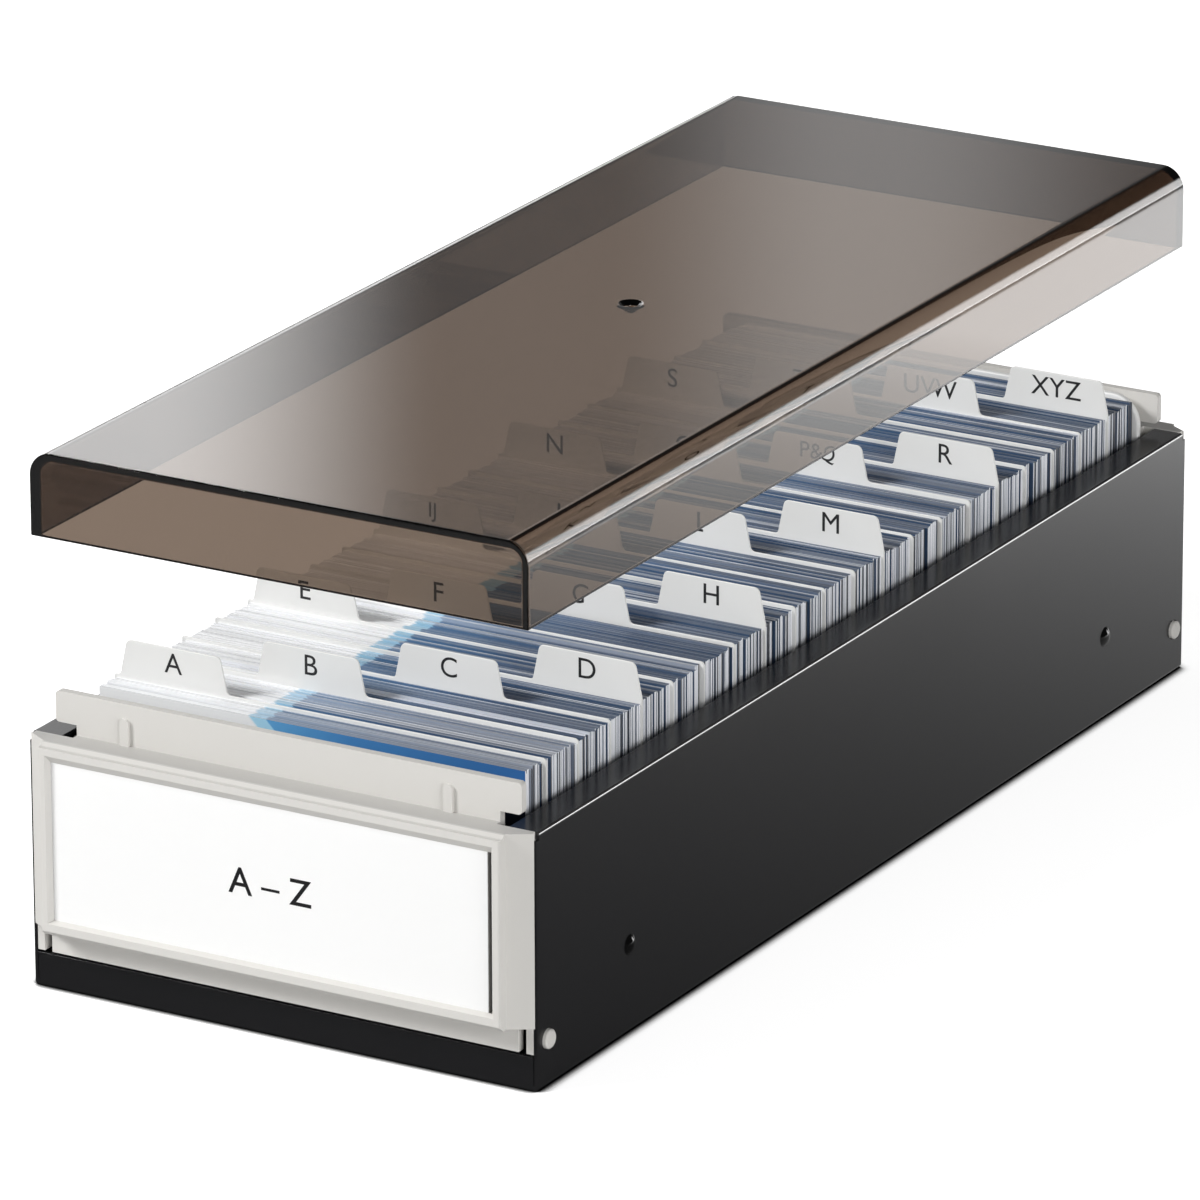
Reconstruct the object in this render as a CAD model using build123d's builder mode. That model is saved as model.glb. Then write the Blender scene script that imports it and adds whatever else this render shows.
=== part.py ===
# Business card box: a folded steel tray between two moulded end panels, filled
# with visiting cards and lettered index dividers, under a clear smoked lid that
# lifts straight off. Millimetres, X across, Y from front to rear, Z up. The
# origin is under the middle of the box, on the surface that it stands on.
import os
from build123d import *

os.makedirs("parts", exist_ok=True)

# Steel tray, folded from one painted sheet. Its width follows from the cards.
tray_length = 258.3
tray_height = 49.8
sheet = 0.7
bend_radius = 0.5
fold_notch = 1.5
flange_width = 6.3
flange_set_back = 1.1
lip_height = 6.4
lip_end_gap = 0.15

# Inner tray that the cards stand in
liner_sheet = 1.1
liner_side_fit = 0.3
liner_step_width = 4.9
liner_step_height = 11.9
liner_top_height = 22.0
liner_end_fit = 0.5

# Countersunk rivets through the tray's sides
rivet_inset = 34.0
rivet_height = 16.9
rivet_head_radius = 2.1
rivet_shank_radius = 1.2
rivet_tail_radius = 1.9
rivet_tail_length = 0.8
rivet_sink = 0.15
rivet_hole_fit = 0.1

# Moulded end panel
panel_wall = 1.8
panel_fit = 0.1
splay_cover = 0.35
bezel_depth = 2.8
bezel_splay = 4.0
bezel_bottom = 12.1
hollow_turn = 1.05
hollow_narrowing = 0.95
ledge_rise = 0.1
rim_proud = 2.2
rim_step = 1.1
rim_top_margin = 0.7
rim_bottom_bevel = 1.0
rim_corner_radius = 0.45
window_side_margin = 1.5
window_top_margin = 1.4
window_bottom_margin = 1.55
window_bevel_side = 0.75
window_bevel_top = 1.5
window_bevel_bottom = 0.55
tongue_set_back = 2.3
tongue_thickness = 1.7
tongue_rise = 8.2
neck_side_gap = 2.5
wing_side_gap = 1.3
wing_rise = 2.1
wing_corner_radius = 0.8
rib_spacing = 69.0
rib_width = 1.9
rib_height = 5.4
rib_proud = 0.6
apron_gap = 0.5
leg_slot_width = 1.6
leg_thickness = 1.5
leg_depth = 7.0
peg_inset = 3.9
peg_height = 9.0
peg_radius = 1.85
peg_hole_fit = 0.15
peg_proud = 0.8
peg_chamfer = 0.3

# Label card in its pocket behind the front rim
label_thickness = 0.3
label_tuck = 0.8
label_fit = 0.2
label_side_gap = 0.8
label_groove_depth = 1.3

# Cards, dividers and the plate behind them
card_width = 91.0
card_height = 55.0
divider_margin = 0.7
divider_height = 55.5
divider_thickness = 0.4
divider_corner_radius = 0.8
divider_count = 20
tabs_in_row = 4
tab_height = 7.1
tab_foot_width = 23.3
tab_slant = 1.5
tab_inset = 1.25
tab_corner_radius = 1.2
front_space = 6.6
first_pack = 6.5
last_pack = 11.1
back_plate_margin = 0.8
back_plate_height = 56.1
back_plate_thickness = 1.4
back_plate_radius = 6.0
back_plate_fit = 0.2
back_plate_play = 1.6

# Clear lid, shown lifted above the box
lid_side_inset = 1.3
lid_overhang = 0.2
lid_wall = 1.7
lid_edge_radius = 4.6
lid_seat_gap = 0.1
lid_head_room = 0.3
lid_lift = 38.45
gate_radius = 2.8
gate_depth = 0.9
gate_bump_radius = 1.3

# Places worked out from the sizes above
divider_width = card_width + 2 * divider_margin
back_plate_width = divider_width + 2 * back_plate_margin
liner_half = back_plate_width / 2 + liner_side_fit
wall_face = liner_half + liner_sheet + liner_step_width
half_width = wall_face + sheet
tray_width = 2 * half_width
half_length = tray_length / 2
front = -half_length
lid_width = tray_width - 2 * lid_side_inset
floor_top = sheet + liner_sheet
ledge_top = tray_height + ledge_rise
panel_half = wall_face - panel_fit
bezel_front = front - bezel_depth
bezel_half = panel_half - bezel_splay
splay_half = wall_face + splay_cover
rim_front = bezel_front - rim_proud
rim_top = ledge_top - rim_top_margin
rim_bottom = bezel_bottom + rim_bottom_bevel
window_half = bezel_half - window_side_margin
window_top = rim_top - window_top_margin
window_bottom = rim_bottom + window_bottom_margin
opening_half = window_half - window_bevel_side
opening_top = window_top - window_bevel_top
opening_bottom = window_bottom + window_bevel_bottom
panel_bottom = lip_height + apron_gap
leg_half = panel_half - leg_thickness
apron_width = 2 * (leg_half - leg_slot_width)
tongue_neck_width = 2 * (half_width - flange_width - neck_side_gap)
wing_width = lid_width - 2 * (lid_wall + wing_side_gap)
tongue_front = front + tongue_set_back
tongue_back = tongue_front + tongue_thickness
tongue_top = tray_height + tongue_rise
peg_end = half_width + peg_proud
label_front = rim_front + rim_step
label_back = label_front + label_thickness

REARWARD = (0, 1, 0)


def upright(y):
    """A drawing plane that stands across the box at y, seen from the front."""
    return Plane.XZ.offset(-y)


# Steel tray: floor, two sides with their tops folded in, and two low end lips
with BuildPart() as steel_tray:
    with BuildSketch(upright(front)):
        with Locations((0, tray_height / 2)):
            RectangleRounded(tray_width, tray_height, bend_radius)
            Rectangle(tray_width - 2 * sheet, tray_height - 2 * sheet, mode=Mode.SUBTRACT)
        with Locations((0, tray_height)):
            Rectangle(
                tray_width - 2 * flange_width,
                4 * sheet,
                mode=Mode.SUBTRACT,
            )
    extrude(amount=tray_length, dir=REARWARD)
    # The fold starts a little behind the front edge of each side
    for end in (front, half_length - flange_set_back):
        with BuildSketch(upright(end)):
            with Locations((0, tray_height)):
                Rectangle(tray_width, 2 * fold_notch)
        extrude(amount=flange_set_back, dir=REARWARD, mode=Mode.SUBTRACT)
    # The lips stand between the sides with a hairline gap at each end
    for end in (front, half_length - sheet):
        with BuildSketch(upright(end)):
            with Locations((0, sheet)):
                Rectangle(
                    2 * (wall_face - lip_end_gap),
                    lip_height - sheet,
                    align=(Align.CENTER, Align.MIN),
                )
        extrude(amount=sheet, dir=REARWARD)
    # Peg holes near the ends, and dished rivet holes further in
    for side in (-1, 1):
        for end in (-1, 1):
            peg_plane = Plane(
                origin=(side * half_width, end * (half_length - peg_inset), peg_height),
                z_dir=(side, 0, 0),
            )
            with Locations(peg_plane):
                Hole(radius=peg_radius + peg_hole_fit, depth=2 * sheet)
            rivet_plane = Plane(
                origin=(side * half_width, end * (half_length - rivet_inset), rivet_height),
                z_dir=(side, 0, 0),
            )
            with BuildSketch(rivet_plane):
                Circle(rivet_head_radius + rivet_hole_fit)
            with BuildSketch(rivet_plane.offset(-sheet)):
                Circle(rivet_shank_radius + rivet_hole_fit)
            loft(mode=Mode.SUBTRACT)
steel_tray.part.label = "steel_tray"
export_step(steel_tray.part, "parts/steel_tray.step")

# Inner tray: a floor under the cards, low sides beside them, and a stepped edge
# that reaches out to the steel sides and is riveted to them
liner_end = half_length - leg_depth - liner_end_fit
with BuildPart() as inner_tray:
    with BuildSketch(upright(-liner_end)):
        with Locations((0, sheet)):
            Rectangle(
                2 * (liner_half + liner_sheet),
                liner_step_height - sheet,
                align=(Align.CENTER, Align.MIN),
            )
        with Locations((0, liner_step_height - liner_sheet)):
            Rectangle(
                2 * wall_face,
                liner_top_height - liner_step_height + liner_sheet,
                align=(Align.CENTER, Align.MIN),
            )
        with Locations((0, liner_step_height)):
            Rectangle(
                2 * (wall_face - liner_sheet),
                liner_top_height,
                align=(Align.CENTER, Align.MIN),
                mode=Mode.SUBTRACT,
            )
        with Locations((0, floor_top)):
            Rectangle(
                2 * liner_half,
                liner_top_height,
                align=(Align.CENTER, Align.MIN),
                mode=Mode.SUBTRACT,
            )
    extrude(amount=2 * liner_end, dir=REARWARD)
    for side in (-1, 1):
        for end in (-1, 1):
            rivet_plane = Plane(
                origin=(side * wall_face, end * (half_length - rivet_inset), rivet_height),
                z_dir=(side, 0, 0),
            )
            with Locations(rivet_plane):
                Hole(radius=rivet_shank_radius + rivet_hole_fit, depth=2 * liner_sheet)
inner_tray.part.label = "inner_tray"
export_step(inner_tray.part, "parts/inner_tray.step")

# Four rivets: a countersunk head outside and a flattened tail inside
with BuildPart() as side_rivets:
    for side in (-1, 1):
        for end in (-1, 1):
            head = Plane(
                origin=(side * (half_width - rivet_sink), end * (half_length - rivet_inset), rivet_height),
                z_dir=(side, 0, 0),
            )
            tail = Plane(
                origin=(side * (wall_face - liner_sheet), end * (half_length - rivet_inset), rivet_height),
                z_dir=(side, 0, 0),
            )
            with BuildSketch(head):
                Circle(rivet_head_radius - rivet_sink)
            with BuildSketch(head.offset(rivet_sink - sheet)):
                Circle(rivet_shank_radius)
            loft()
            with BuildSketch(tail):
                Circle(rivet_shank_radius)
            extrude(amount=liner_sheet)
            with BuildSketch(tail):
                Circle(rivet_tail_radius)
            extrude(amount=-rivet_tail_length)
side_rivets.part.label = "side_rivets"
export_step(side_rivets.part, "parts/side_rivets.step")

# Front panel, one moulding: a hollow bezel with splayed sides, a raised rim
# round the label, a tongue that the lid drops over, and two springy legs whose
# pegs snap into the steel sides
bezel_outline = [
    (-panel_half, front - panel_fit),
    (-splay_half, front - panel_fit),
    (-bezel_half, bezel_front),
    (bezel_half, bezel_front),
    (splay_half, front - panel_fit),
    (panel_half, front - panel_fit),
]
hollow_half = bezel_half - hollow_narrowing
hollow_outline = [
    (-leg_half, front + leg_depth),
    (-leg_half, front + hollow_turn),
    (-hollow_half, bezel_front + panel_wall),
    (hollow_half, bezel_front + panel_wall),
    (leg_half, front + hollow_turn),
    (leg_half, front + leg_depth),
]
with BuildPart() as front_panel:
    # Bezel block with its ledge, between the steel sides
    with BuildSketch(Plane.XY.offset(bezel_bottom)):
        with BuildLine():
            Polyline(
                *bezel_outline,
                (panel_half, front + flange_set_back - panel_fit),
                (-panel_half, front + flange_set_back - panel_fit),
                close=True,
            )
        make_face()
    extrude(amount=ledge_top - bezel_bottom)
    # Side returns run back inside the steel sides, below the folded flange
    for side in (-1, 1):
        with BuildSketch(Plane.XY.offset(panel_bottom)):
            with Locations((side * (panel_half - leg_thickness / 2), front)):
                Rectangle(leg_thickness, leg_depth, align=(Align.CENTER, Align.MIN))
        extrude(amount=tray_height - fold_notch - panel_bottom)
    # The ledge reaches back to the tongue between the flanges
    with BuildSketch(Plane.XY.offset(ledge_top - panel_wall)):
        with Locations((0, front)):
            Rectangle(
                tongue_neck_width,
                tongue_set_back + tongue_thickness,
                align=(Align.CENTER, Align.MIN),
            )
    extrude(amount=panel_wall)
    # The bezel is open at the rear
    with BuildSketch(Plane.XY.offset(bezel_bottom + panel_wall)):
        with BuildLine():
            Polyline(*hollow_outline, close=True)
        make_face()
    extrude(amount=ledge_top - bezel_bottom - 2 * panel_wall, mode=Mode.SUBTRACT)
    # Tongue with a narrow neck and a wing over each flange
    with BuildSketch(upright(tongue_front)):
        with Locations((0, ledge_top - panel_wall)):
            Rectangle(
                tongue_neck_width,
                tongue_top - ledge_top + panel_wall,
                align=(Align.CENTER, Align.MIN),
            )
        with Locations((0, (tongue_top + tray_height + wing_rise) / 2)):
            RectangleRounded(
                wing_width,
                tongue_top - tray_height - wing_rise,
                wing_corner_radius,
            )
    extrude(amount=tongue_thickness, dir=REARWARD)
    # Two low ribs on the tongue centre the lid
    for side in (-1, 1):
        with BuildSketch(upright(tongue_front - rib_proud)):
            with Locations((side * rib_spacing / 2, ledge_top)):
                Rectangle(
                    rib_width,
                    rib_height - rib_width / 2,
                    align=(Align.CENTER, Align.MIN),
                )
            with Locations((side * rib_spacing / 2, ledge_top + rib_height - rib_width / 2)):
                Circle(rib_width / 2)
        extrude(amount=rib_proud, dir=REARWARD)
    # Apron between the two legs, down to the steel lip
    with BuildSketch(upright(front)):
        with Locations((0, panel_bottom)):
            Rectangle(
                apron_width,
                bezel_bottom + panel_wall - panel_bottom,
                align=(Align.CENTER, Align.MIN),
            )
    extrude(amount=panel_wall, dir=REARWARD)
    # Rim round the label, rounded at its ends, bevelled below and stepped above
    with BuildSketch(Plane.XY.offset(bezel_bottom)) as rim_outline:
        with Locations((0, rim_front)):
            Rectangle(2 * bezel_half, rim_proud, align=(Align.CENTER, Align.MIN))
        fillet(rim_outline.vertices().group_by(Axis.Y)[0], rim_corner_radius)
    extrude(amount=ledge_top - bezel_bottom)
    below_rim = [
        (rim_front + rim_step, bezel_bottom),
        (rim_front, rim_bottom),
        (rim_front, bezel_bottom),
    ]
    above_rim = [
        (rim_front, ledge_top),
        (rim_front, rim_top),
        (rim_front + rim_step, rim_top),
        (bezel_front, ledge_top),
    ]
    for cut_outline in (below_rim, above_rim):
        with BuildSketch(Plane.YZ.offset(-bezel_half)):
            with BuildLine():
                Polyline(*cut_outline, close=True)
            make_face()
        extrude(amount=2 * bezel_half, mode=Mode.SUBTRACT)
    # The window narrows from the rim's face to the label
    with BuildSketch(upright(rim_front)):
        with Locations((0, (window_top + window_bottom) / 2)):
            Rectangle(2 * window_half, window_top - window_bottom)
    with BuildSketch(upright(label_front)):
        with Locations((0, (opening_top + opening_bottom) / 2)):
            Rectangle(2 * opening_half, opening_top - opening_bottom)
    loft(mode=Mode.SUBTRACT)
    # Pocket for the label card behind the rim
    with BuildSketch(upright(label_front)):
        with Locations((0, (opening_top + opening_bottom) / 2)):
            Rectangle(
                2 * (opening_half + label_fit),
                opening_top - opening_bottom + 2 * (label_tuck + label_fit),
            )
    extrude(amount=label_thickness, dir=REARWARD, mode=Mode.SUBTRACT)
    # A groove at each end of the pocket, where a nail lifts the card
    for side in (-1, 1):
        groove_middle = side * (opening_half - label_side_gap / 2)
        with BuildSketch(upright(label_back)):
            with Locations((groove_middle, (opening_top + opening_bottom) / 2)):
                Rectangle(label_side_gap, opening_top - opening_bottom)
        extrude(amount=label_groove_depth, dir=REARWARD, mode=Mode.SUBTRACT)
    # Snap pegs on the legs
    for side in (-1, 1):
        peg_plane = Plane(
            origin=(side * leg_half, front + peg_inset, peg_height),
            z_dir=(side, 0, 0),
        )
        with BuildSketch(peg_plane):
            Circle(peg_radius)
        extrude(amount=peg_end - leg_half - peg_chamfer)
        with BuildSketch(peg_plane.offset(peg_end - leg_half - peg_chamfer)):
            Circle(peg_radius)
        extrude(amount=peg_chamfer, taper=45)
front_panel.part.label = "front_panel"
export_step(front_panel.part, "parts/front_panel.step")

# Rear panel: the same moulding turned round
with BuildPart() as rear_panel:
    add(front_panel.part.rotate(Axis.Z, 180))
rear_panel.part.label = "rear_panel"
export_step(rear_panel.part, "parts/rear_panel.step")

# Blank label card, tucked behind the rim above and below and slid to one end
with BuildPart() as front_label:
    with BuildSketch(upright(label_front)):
        with Locations((-label_side_gap / 2, (opening_top + opening_bottom) / 2)):
            Rectangle(
                2 * opening_half - label_side_gap,
                opening_top - opening_bottom + 2 * label_tuck,
            )
    extrude(amount=label_thickness, dir=REARWARD)
front_label.part.label = "front_label"
export_step(front_label.part, "parts/front_label.step")

# The stack fills the tray from the front space to the plate at the back
stack_front = tongue_back + front_space
plate_front = -tongue_back - back_plate_play - back_plate_fit - back_plate_thickness
stack_back = plate_front - back_plate_fit
divider_room = divider_count * divider_thickness
between = stack_back - stack_front - first_pack - last_pack - divider_room
pack_thickness = between / (divider_count - 1)
pitch = pack_thickness + divider_thickness
first_divider = stack_front + first_pack

# Card packs: one block of cards in front of each divider and one behind the last
for index in range(divider_count + 1):
    if index == 0:
        pack_front = stack_front
        depth = first_pack
    elif index == divider_count:
        pack_front = stack_back - last_pack
        depth = last_pack
    else:
        pack_front = first_divider + divider_thickness + (index - 1) * pitch
        depth = pack_thickness
    with BuildPart() as card_pack:
        with BuildSketch(upright(pack_front)):
            with Locations((0, floor_top)):
                Rectangle(card_width, card_height, align=(Align.CENTER, Align.MIN))
        extrude(amount=depth, dir=REARWARD)
    card_pack.part.label = f"card_pack_{index:02d}"
    export_step(card_pack.part, f"parts/card_pack_{index:02d}.step")

# Index dividers: a thin sheet with one tab, stepped across in rows of four
divider_top = floor_top + divider_height
tab_root = divider_top - divider_corner_radius
tab_step = (divider_width - tab_inset - tab_foot_width) / (tabs_in_row - 1)
tab_first = -divider_width / 2 + tab_inset + tab_foot_width / 2
for index in range(divider_count):
    tab_centre = tab_first + (index % tabs_in_row) * tab_step
    foot = tab_foot_width / 2
    crown = foot - tab_slant
    with BuildPart() as divider:
        with BuildSketch(upright(first_divider + index * pitch)) as outline:
            with Locations((0, floor_top)):
                Rectangle(divider_width, divider_height, align=(Align.CENTER, Align.MIN))
            fillet(outline.vertices().group_by(Axis.Z)[-1], divider_corner_radius)
            with BuildLine():
                FilletPolyline(
                    (tab_centre - foot, tab_root),
                    (tab_centre - foot, divider_top),
                    (tab_centre - crown, divider_top + tab_height),
                    (tab_centre + crown, divider_top + tab_height),
                    (tab_centre + foot, divider_top),
                    (tab_centre + foot, tab_root),
                    radius=tab_corner_radius,
                )
                Line((tab_centre + foot, tab_root), (tab_centre - foot, tab_root))
            make_face()
        extrude(amount=divider_thickness, dir=REARWARD)
    divider.part.label = f"divider_{index + 1:02d}"
    export_step(divider.part, f"parts/divider_{index + 1:02d}.step")

# Back plate: a stiff sheet with rounded top corners, free to slide a little
with BuildPart() as back_plate:
    with BuildSketch(upright(plate_front)):
        with Locations((0, floor_top)):
            Rectangle(
                back_plate_width,
                back_plate_height,
                align=(Align.CENTER, Align.MIN),
            )
    extrude(amount=back_plate_thickness, dir=REARWARD)
    top_corners = back_plate.edges().filter_by(Axis.Y).group_by(Axis.Z)[-1]
    fillet(top_corners, back_plate_radius)
back_plate.part.label = "back_plate"
export_step(back_plate.part, "parts/back_plate.step")

# Lid: an open cap with rolled long edges and square ends. Its closed height
# clears the tabs, and here it is drawn lifted off.
lid_closed = ledge_top + lid_seat_gap
tab_top = divider_top + tab_height
lid_height = tab_top + lid_head_room + lid_wall - lid_closed
lid_bottom = lid_closed + lid_lift
lid_top = lid_bottom + lid_height
lid_length = tray_length + 2 * lid_overhang
core_length = lid_length - 2 * lid_wall
with BuildPart() as lid_core:
    with BuildSketch(upright(-core_length / 2)):
        with Locations((0, lid_bottom)):
            Rectangle(
                lid_width - 2 * lid_wall,
                lid_height - lid_wall,
                align=(Align.CENTER, Align.MIN),
            )
    extrude(amount=core_length, dir=REARWARD)
    core_edges = lid_core.edges().filter_by(Axis.Y).group_by(Axis.Z)[-1]
    fillet(core_edges, lid_edge_radius - lid_wall)
with BuildPart() as lid:
    with BuildSketch(upright(-lid_length / 2)):
        with Locations((0, lid_bottom)):
            Rectangle(lid_width, lid_height, align=(Align.CENTER, Align.MIN))
    extrude(amount=lid_length, dir=REARWARD)
    long_edges = lid.edges().filter_by(Axis.Y).group_by(Axis.Z)[-1]
    fillet(long_edges, lid_edge_radius)
    add(lid_core.part, mode=Mode.SUBTRACT)
    # Dished gate mark in the middle of the top, with a small bump in it
    with BuildSketch(Plane.XY.offset(lid_top)):
        Circle(gate_radius)
    extrude(amount=-gate_depth, taper=20, mode=Mode.SUBTRACT)
    with BuildSketch(Plane.XY.offset(lid_top - gate_depth)):
        Circle(gate_bump_radius)
    extrude(amount=gate_depth / 2, taper=20)
lid.part.label = "lid"
export_step(lid.part, "parts/lid.step")
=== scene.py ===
import math

import bmesh
import bpy
import numpy as np
from mathutils import Matrix, Vector


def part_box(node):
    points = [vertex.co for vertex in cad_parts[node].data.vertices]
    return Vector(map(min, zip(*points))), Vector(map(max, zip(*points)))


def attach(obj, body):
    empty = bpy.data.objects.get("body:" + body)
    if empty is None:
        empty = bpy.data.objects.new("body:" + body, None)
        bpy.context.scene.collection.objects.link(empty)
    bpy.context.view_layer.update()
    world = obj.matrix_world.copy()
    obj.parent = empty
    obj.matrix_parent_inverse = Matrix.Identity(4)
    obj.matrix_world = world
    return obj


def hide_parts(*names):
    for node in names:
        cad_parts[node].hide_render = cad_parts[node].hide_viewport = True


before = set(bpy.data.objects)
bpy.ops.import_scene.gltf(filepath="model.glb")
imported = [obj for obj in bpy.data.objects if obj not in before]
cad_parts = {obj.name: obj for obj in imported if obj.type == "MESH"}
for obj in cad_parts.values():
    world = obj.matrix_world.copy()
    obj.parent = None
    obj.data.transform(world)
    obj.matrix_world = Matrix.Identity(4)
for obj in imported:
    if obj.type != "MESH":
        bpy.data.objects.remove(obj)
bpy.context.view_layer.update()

scene = bpy.context.scene
scene.view_settings.view_transform = "Standard"
mm = 0.001

# Camera: in front of the box, to its right and a little above it, with a long
# lens, as in a catalogue photograph.


def new_piece(name, data):
    """An object that holds data, in the scene."""
    piece = bpy.data.objects.new(name, data)
    scene.collection.objects.link(piece)
    return piece


camera_place = Vector((0.9183, -1.6091, 0.7069))
camera_azimuth = math.radians(29.898)
camera_elevation = math.radians(19.664)
camera_roll = math.radians(-0.167)
focal_length_px = 10227.7
photo_width_px = 1200
camera = new_piece("camera", bpy.data.cameras.new("camera"))
camera.data.sensor_width = 36.0
camera.data.sensor_fit = "HORIZONTAL"
camera.data.lens = camera.data.sensor_width * focal_length_px / photo_width_px
camera.data.clip_start = 0.1
camera.data.clip_end = 30.0
pan = Matrix.Rotation(camera_azimuth, 4, "Z")
tilt = Matrix.Rotation(math.pi / 2 - camera_elevation, 4, "X")
roll = Matrix.Rotation(camera_roll, 4, "Z")
camera.matrix_world = Matrix.Translation(camera_place) @ pan @ tilt @ roll
scene.camera = camera

# Studio: an even sky, a key lamp at the front left and a fill lamp at the front
# right. Bright banks stand at the rear and show only in glossy surfaces.
lit_sky = 0.15
world = bpy.data.worlds.new("studio")
scene.world = world
world.use_nodes = True
sky = world.node_tree
sky.nodes.clear()


def combine(tree, operation, first, second):
    """The value of a math node: operation on two entries, each a socket or a number."""
    node = tree.nodes.new("ShaderNodeMath")
    node.operation = operation
    for entry, given in zip(node.inputs, (first, second)):
        if isinstance(given, bpy.types.NodeSocket):
            tree.links.new(given, entry)
        elif given is not None:
            entry.default_value = given
    return node.outputs[0]


def soft_step(tree, value, start, end, low=0.0, high=1.0):
    """A value that goes from low at start to high at end along 3t^2 - 2t^3."""
    node = tree.nodes.new("ShaderNodeMapRange")
    node.interpolation_type = "SMOOTHSTEP"
    tree.links.new(value, node.inputs["Value"])
    for name, given in (("From Min", start), ("From Max", end), ("To Min", low), ("To Max", high)):
        node.inputs[name].default_value = given
    return node.outputs["Result"]


def bank(tree, turn, rise, turns, rises, level):
    """The light of one bank: level inside turns and rises, each four degrees at which it
    starts, is full, starts to fall and ends."""
    product = level
    for value, (start, full, fall, end) in ((turn, turns), (rise, rises)):
        product = combine(tree, "MULTIPLY", product, soft_step(tree, value, start, full))
        product = combine(tree, "MULTIPLY", product, soft_step(tree, value, end, fall))
    return product


def mirrored_share(tree, ray):
    """1 where a ray arrives from a mirroring surface. A ray that has come through the clear
    lid counts as glossy too, so that is taken off."""
    bounced = combine(tree, "SUBTRACT", 1.0, ray.outputs["Is Transmission Ray"])
    return combine(tree, "MULTIPLY", ray.outputs["Is Glossy Ray"], bounced)


direction = sky.nodes.new("ShaderNodeTexCoord")
axes = sky.nodes.new("ShaderNodeSeparateXYZ")
sky.links.new(direction.outputs["Generated"], axes.inputs[0])
leftward = combine(sky, "MULTIPLY", axes.outputs["X"], -1.0)
turn = combine(sky, "DEGREES", combine(sky, "ARCTAN2", leftward, axes.outputs["Y"]), None)
rise = combine(sky, "DEGREES", combine(sky, "ARCSINE", axes.outputs["Z"], None), None)
rim_light = 7.5
banks = [
    # degrees left of straight ahead, degrees up, level
    ((30.8, 32.6, 70.0, 85.0), (3.0, 8.0, 23.0, 28.0), 3.1),
    ((26.4, 28.2, 28.4, 29.9), (3.0, 8.0, 23.0, 28.0), 0.8),
    ((-44.0, -40.0, -29.0, -25.0), (-3.0, 0.0, 11.0, 20.0), rim_light),
    ((-20.0, 0.0, 40.0, 60.0), (3.0, 8.0, 23.0, 28.0), 0.28),
]
mirror_level = 0.05
for turns, rises, level in banks:
    mirror_level = combine(sky, "ADD", mirror_level, bank(sky, turn, rise, turns, rises, level))
ray = sky.nodes.new("ShaderNodeLightPath")
direct = combine(sky, "MAXIMUM", ray.outputs["Is Camera Ray"], ray.outputs["Is Transmission Ray"])
sky_level = combine(sky, "SUBTRACT", mirror_level, lit_sky)
sky_level = combine(sky, "MULTIPLY", sky_level, mirrored_share(sky, ray))
sky_level = combine(sky, "ADD", sky_level, lit_sky)
sky_level = combine(sky, "MAXIMUM", sky_level, direct)
sky_glow = sky.nodes.new("ShaderNodeBackground")
sky.links.new(sky_level, sky_glow.inputs["Strength"])
sky_out = sky.nodes.new("ShaderNodeOutputWorld")
sky.links.new(sky_glow.outputs[0], sky_out.inputs["Surface"])

lamp_distance = 1.6
lamp_aim = Vector((0, 0, 0.05))
lamps = {
    # name: direction to the lamp, share of full light, edge length of its face, whether
    # glossy surfaces mirror it
    "key_lamp": ((-0.62, -0.54, 0.57), 0.88, 0.45, True),
    "fill_lamp": ((0.85, -0.48, 0.20), 0.60, 0.90, False),
}
for lamp_name, (towards, share, face, mirrored) in lamps.items():
    lamp = bpy.data.lights.new(lamp_name, "AREA")
    lamp.shape = "SQUARE"
    lamp.size = face
    # A square lamp of power P lights a surface that faces it with P / (pi d^2) and a
    # white surface then sends back that much over pi
    lamp.energy = share * math.pi * math.pi * lamp_distance**2
    holder = new_piece(lamp_name, lamp)
    holder.visible_glossy = mirrored
    towards = Vector(towards).normalized()
    facing = towards.to_track_quat("Z", "Y").to_matrix().to_4x4()
    holder.matrix_world = Matrix.Translation(towards * lamp_distance + lamp_aim) @ facing

# Sweep: a wide sheet under the box, pale grey to light and white to look at. Glossy
# sides mirror it as dark beside the box and brighter towards the rear right.
sweep_paint = bpy.data.materials.new("studio_sweep")
sweep_paint.use_nodes = True
sweep = sweep_paint.node_tree
sweep.nodes.clear()
matt = sweep.nodes.new("ShaderNodeBsdfDiffuse")
ray = sweep.nodes.new("ShaderNodeLightPath")
seen_here = ray.outputs["Is Camera Ray"]
seen_through = ray.outputs["Is Transmission Ray"]
bounce, floor_light = 0.75, 0.75
white_here, white_through = 0.76, 1.16
foot_shadow_reach = 3.2 * mm
matt_level = combine(sweep, "ADD", combine(sweep, "MULTIPLY", seen_here, 1.0 - bounce), bounce)
# Close to the box's foot the floor lies in shadow
open_share = sweep.nodes.new("ShaderNodeAmbientOcclusion")
open_share.inputs["Distance"].default_value = foot_shadow_reach
unshaded = soft_step(sweep, open_share.outputs["AO"], 0.5, 0.96)
unshaded = combine(sweep, "MAXIMUM", unshaded, combine(sweep, "SUBTRACT", 1.0, seen_here))
matt_level = combine(sweep, "MULTIPLY", matt_level, unshaded)
matt_colour = sweep.nodes.new("ShaderNodeCombineColor")
for entry in matt_colour.inputs:
    sweep.links.new(matt_level, entry)
sweep.links.new(matt_colour.outputs[0], matt.inputs["Color"])
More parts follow.
